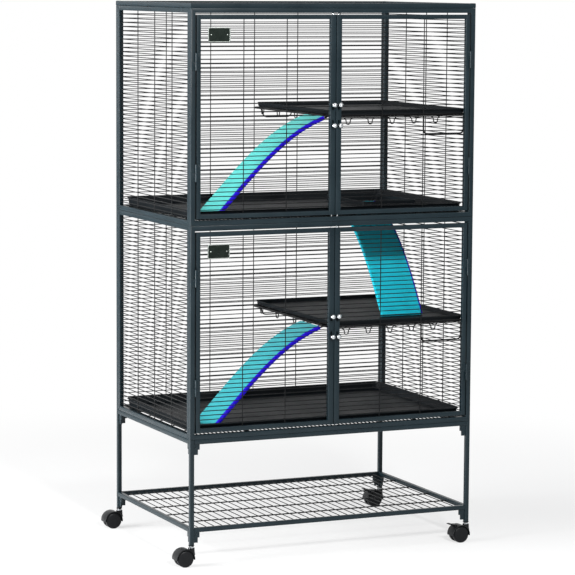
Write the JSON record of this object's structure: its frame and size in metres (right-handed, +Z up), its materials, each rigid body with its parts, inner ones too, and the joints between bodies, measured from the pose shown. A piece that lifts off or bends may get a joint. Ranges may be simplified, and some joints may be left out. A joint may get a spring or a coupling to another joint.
{
  "type": "ferret cage",
  "caption": "Tall wire pet cage on a castored stand: stacked units with paired doors and slide latches, pans, shelves, fabric-covered ramps and a storage shelf.",
  "frame": {"origin": "middle of the bounding box's base, on the floor under the castors", "axes": "+X across the cage to the right as seen from the doors, +Y to the back, +Z up"},
  "size_m": [0.964, 0.6432, 1.6299],
  "materials": {
    "frame": "satin hammered powder coat",
    "wire": "satin powder coat",
    "latch": "polished",
    "pan": "satin moulded",
    "castor": "satin moulded",
    "fabric": "brushed fleece"
  },
  "bodies": {
    "cage": {"leg_front_left": "frame", "castor_socket_front_left": "castor", "leg_front_right": "frame", "castor_socket_front_right": "castor", "leg_back_left": "frame", "castor_socket_back_left": "castor", "leg_back_right": "frame", "castor_socket_back_right": "castor", "stand_rail_front": "frame", "stand_rail_back": "frame", "stand_rail_left": "frame", "stand_rail_right": "frame", "storage_shelf": "frame", "lower_front_frame": "frame", "lower_left_panel": "frame", "lower_right_panel": "frame", "lower_back_panel": "frame", "lower_floor_grid": "wire", "lower_floor_pan": "pan", "lower_shelf": "wire", "lower_toy_rail": "wire", "lower_shelf_pan": "pan", "upper_front_frame": "frame", "upper_left_panel": "frame", "upper_right_panel": "frame", "upper_back_panel": "frame", "upper_floor_grid": "wire", "upper_floor_pan": "pan", "upper_shelf": "wire", "upper_toy_rail": "wire", "upper_shelf_pan": "pan", "roof_panel": "frame"},
    "lower_left_door": {"lower_left_door": "frame"},
    "lower_left_latch_top": {"lower_left_latch_top": "latch"},
    "lower_left_latch_bottom": {"lower_left_latch_bottom": "latch"},
    "lower_right_door": {"lower_right_door": "frame"},
    "lower_right_latch_top": {"lower_right_latch_top": "latch"},
    "lower_right_latch_bottom": {"lower_right_latch_bottom": "latch"},
    "upper_left_door": {"upper_left_door": "frame"},
    "upper_left_latch_top": {"upper_left_latch_top": "latch"},
    "upper_left_latch_bottom": {"upper_left_latch_bottom": "latch"},
    "upper_right_door": {"upper_right_door": "frame"},
    "upper_right_latch_top": {"upper_right_latch_top": "latch"},
    "upper_right_latch_bottom": {"upper_right_latch_bottom": "latch"},
    "castor_fork_front_left": {"castor_fork_front_left": "castor"},
    "castor_wheel_front_left": {"castor_wheel_front_left": "castor"},
    "castor_fork_front_right": {"castor_fork_front_right": "castor"},
    "castor_wheel_front_right": {"castor_wheel_front_right": "castor"},
    "castor_brake_front_right": {"castor_brake_front_right": "castor"},
    "castor_fork_back_left": {"castor_fork_back_left": "castor"},
    "castor_wheel_back_left": {"castor_wheel_back_left": "castor"},
    "castor_fork_back_right": {"castor_fork_back_right": "castor"},
    "castor_wheel_back_right": {"castor_wheel_back_right": "castor"},
    "castor_brake_back_right": {"castor_brake_back_right": "castor"},
    "lower_ramp": {"lower_ramp_frame": "wire", "lower_ramp_cover": "fabric"},
    "upper_ramp": {"upper_ramp_frame": "wire", "upper_ramp_cover": "fabric"},
    "middle_ramp": {"middle_ramp_frame": "wire", "middle_ramp_cover": "fabric"}
  },
  "joints": [
    {"name": "lower_left_door_hinge", "type": "hinge", "parent": "cage", "child": "lower_left_door", "pos_m": [-0.41974, -0.30615, 0.6823], "axis": [0, 0, -1], "range_deg": [0, 175]},
    {"name": "lower_left_latch_top_slide", "type": "slide", "parent": "lower_left_door", "child": "lower_left_latch_top", "axis": [0, 0, -1], "range_m": [0, 0.013], "stiffness_N_per_m": 250, "springref_m": -0.012},
    {"name": "lower_left_latch_bottom_slide", "type": "slide", "parent": "lower_left_door", "child": "lower_left_latch_bottom", "axis": [0, 0, 1], "range_m": [0, 0.013], "stiffness_N_per_m": 250, "springref_m": -0.012},
    {"name": "lower_right_door_hinge", "type": "hinge", "parent": "cage", "child": "lower_right_door", "pos_m": [0.46226, -0.30615, 0.6823], "axis": [0, 0, 1], "range_deg": [0, 175]},
    {"name": "lower_right_latch_top_slide", "type": "slide", "parent": "lower_right_door", "child": "lower_right_latch_top", "axis": [0, 0, -1], "range_m": [0, 0.013], "stiffness_N_per_m": 250, "springref_m": -0.012},
    {"name": "lower_right_latch_bottom_slide", "type": "slide", "parent": "lower_right_door", "child": "lower_right_latch_bottom", "axis": [0, 0, 1], "range_m": [0, 0.013], "stiffness_N_per_m": 250, "springref_m": -0.012},
    {"name": "upper_left_door_hinge", "type": "hinge", "parent": "cage", "child": "upper_left_door", "pos_m": [-0.41974, -0.30615, 1.3046], "axis": [0, 0, -1], "range_deg": [0, 175]},
    {"name": "upper_left_latch_top_slide", "type": "slide", "parent": "upper_left_door", "child": "upper_left_latch_top", "axis": [0, 0, -1], "range_m": [0, 0.013], "stiffness_N_per_m": 250, "springref_m": -0.012},
    {"name": "upper_left_latch_bottom_slide", "type": "slide", "parent": "upper_left_door", "child": "upper_left_latch_bottom", "axis": [0, 0, 1], "range_m": [0, 0.013], "stiffness_N_per_m": 250, "springref_m": -0.012},
    {"name": "upper_right_door_hinge", "type": "hinge", "parent": "cage", "child": "upper_right_door", "pos_m": [0.46226, -0.30615, 1.3046], "axis": [0, 0, 1], "range_deg": [0, 175]},
    {"name": "upper_right_latch_top_slide", "type": "slide", "parent": "upper_right_door", "child": "upper_right_latch_top", "axis": [0, 0, -1], "range_m": [0, 0.013], "stiffness_N_per_m": 250, "springref_m": -0.012},
    {"name": "upper_right_latch_bottom_slide", "type": "slide", "parent": "upper_right_door", "child": "upper_right_latch_bottom", "axis": [0, 0, 1], "range_m": [0, 0.013], "stiffness_N_per_m": 250, "springref_m": -0.012},
    {"name": "castor_swivel_front_left", "type": "hinge", "parent": "cage", "child": "castor_fork_front_left", "pos_m": [-0.42923, -0.29535, 0.06], "axis": [0, 0, 1], "continuous": true},
    {"name": "castor_roll_front_left", "type": "hinge", "parent": "castor_fork_front_left", "child": "castor_wheel_front_left", "pos_m": [-0.45323, -0.29535, 0.025], "axis": [0, 1, 0], "continuous": true},
    {"name": "castor_swivel_front_right", "type": "hinge", "parent": "cage", "child": "castor_fork_front_right", "pos_m": [0.47176, -0.29535, 0.06], "axis": [0, 0, 1], "continuous": true},
    {"name": "castor_roll_front_right", "type": "hinge", "parent": "castor_fork_front_right", "child": "castor_wheel_front_right", "pos_m": [0.44777, -0.29535, 0.025], "axis": [0, 1, 0], "continuous": true},
    {"name": "castor_brake_front_right_press", "type": "hinge", "parent": "castor_fork_front_right", "child": "castor_brake_front_right", "pos_m": [0.43377, -0.29535, 0.0535], "axis": [0, -1, 0], "range_deg": [0, 20]},
    {"name": "castor_swivel_back_left", "type": "hinge", "parent": "cage", "child": "castor_fork_back_left", "pos_m": [-0.42923, 0.30165, 0.06], "axis": [0, 0, 1], "continuous": true},
    {"name": "castor_roll_back_left", "type": "hinge", "parent": "castor_fork_back_left", "child": "castor_wheel_back_left", "pos_m": [-0.45323, 0.30165, 0.025], "axis": [0, 1, 0], "continuous": true},
    {"name": "castor_swivel_back_right", "type": "hinge", "parent": "cage", "child": "castor_fork_back_right", "pos_m": [0.47176, 0.30165, 0.06], "axis": [0, 0, 1], "continuous": true},
    {"name": "castor_roll_back_right", "type": "hinge", "parent": "castor_fork_back_right", "child": "castor_wheel_back_right", "pos_m": [0.44777, 0.30165, 0.025], "axis": [0, 1, 0], "continuous": true},
    {"name": "castor_brake_back_right_press", "type": "hinge", "parent": "castor_fork_back_right", "child": "castor_brake_back_right", "pos_m": [0.43377, 0.30165, 0.0535], "axis": [0, -1, 0], "range_deg": [0, 20]},
    {"name": "lower_ramp_tilt", "type": "hinge", "parent": "cage", "child": "lower_ramp", "pos_m": [0.01426, -0.17685, 0.67745], "axis": [0, 1, 0], "range_deg": [0, 20]},
    {"name": "upper_ramp_tilt", "type": "hinge", "parent": "cage", "child": "upper_ramp", "pos_m": [0.01426, -0.19685, 1.29975], "axis": [0, 1, 0], "range_deg": [0, 20]},
    {"name": "middle_ramp_tilt", "type": "hinge", "parent": "cage", "child": "middle_ramp", "pos_m": [0.31427, 0.19065, 1.0045], "axis": [-1, 0, 0], "range_deg": [0, 23]}
  ]
}
